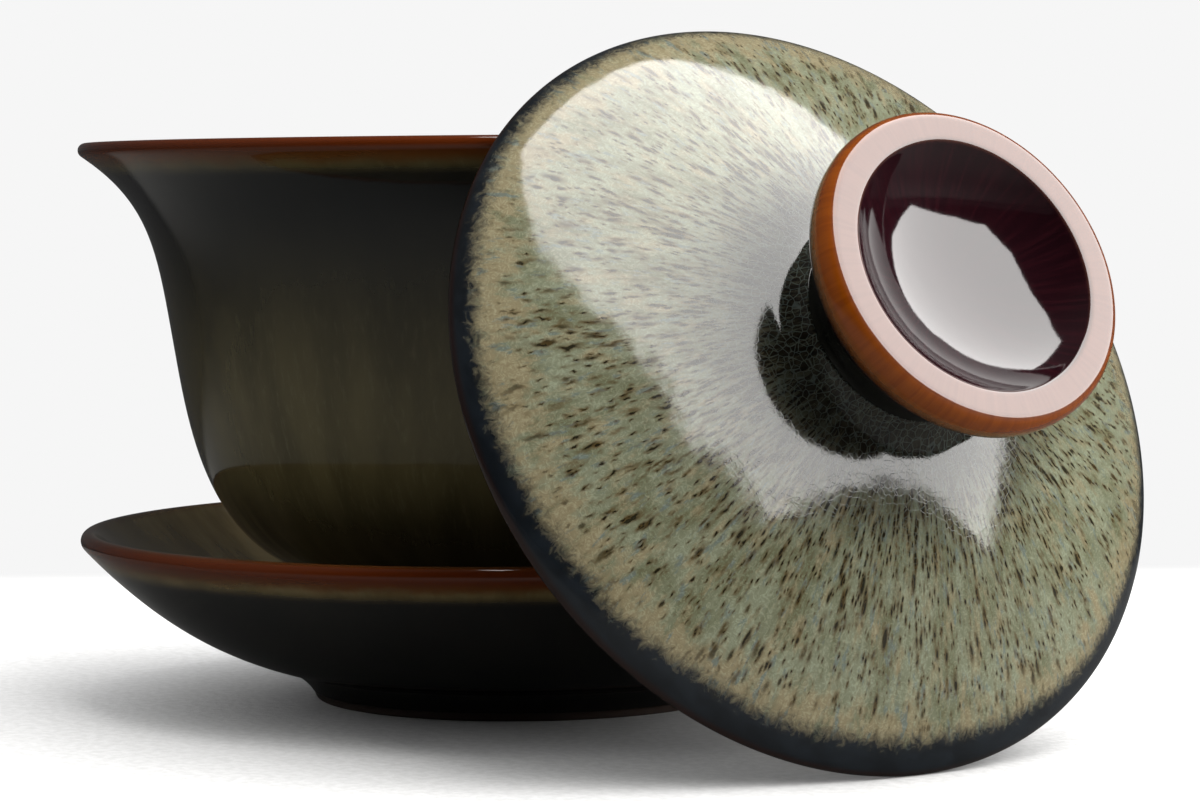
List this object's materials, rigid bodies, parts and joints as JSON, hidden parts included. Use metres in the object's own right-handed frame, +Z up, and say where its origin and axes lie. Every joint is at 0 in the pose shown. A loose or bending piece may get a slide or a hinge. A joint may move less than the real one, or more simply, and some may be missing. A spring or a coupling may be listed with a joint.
{
  "type": "gaiwan",
  "caption": "Flared tea bowl on a footed saucer, with its domed lid leaning on the lip. The bowl lifts off and the lid swings over the bowl. Glazed stoneware.",
  "frame": {"origin": "on the table, on the common axis of the saucer and the bowl", "axes": "+Z up, +X from the bowl towards the leaning lid"},
  "size_m": [0.1349, 0.0966, 0.071],
  "materials": {
    "saucer_glaze": "glossy dark olive glaze that breaks to amber on the lip",
    "bowl_glaze": "glossy dark olive-grey glaze that breaks to iron red on the lip",
    "lid_glaze": "glossy mottled grey-green glaze with radial brown and blue streaks and a slate rim",
    "knob_glaze": "glossy near-black glaze that breaks to amber around the edge"
  },
  "bodies": {
    "saucer": {"saucer": "saucer_glaze"},
    "bowl": {"bowl": "bowl_glaze"},
    "lid": {"lid": "lid_glaze", "lid_knob": "knob_glaze"}
  },
  "joints": [
    {"name": "bowl_lift", "type": "slide", "parent": "saucer", "child": "bowl", "axis": [0, 0, 1], "range_m": [0, 0.05]},
    {"name": "lid_swing", "type": "hinge", "parent": "bowl", "child": "lid", "pos_m": [0.0053, 0, 0.0211], "axis": [0, -1, 0], "range_deg": [0, 84]}
  ]
}
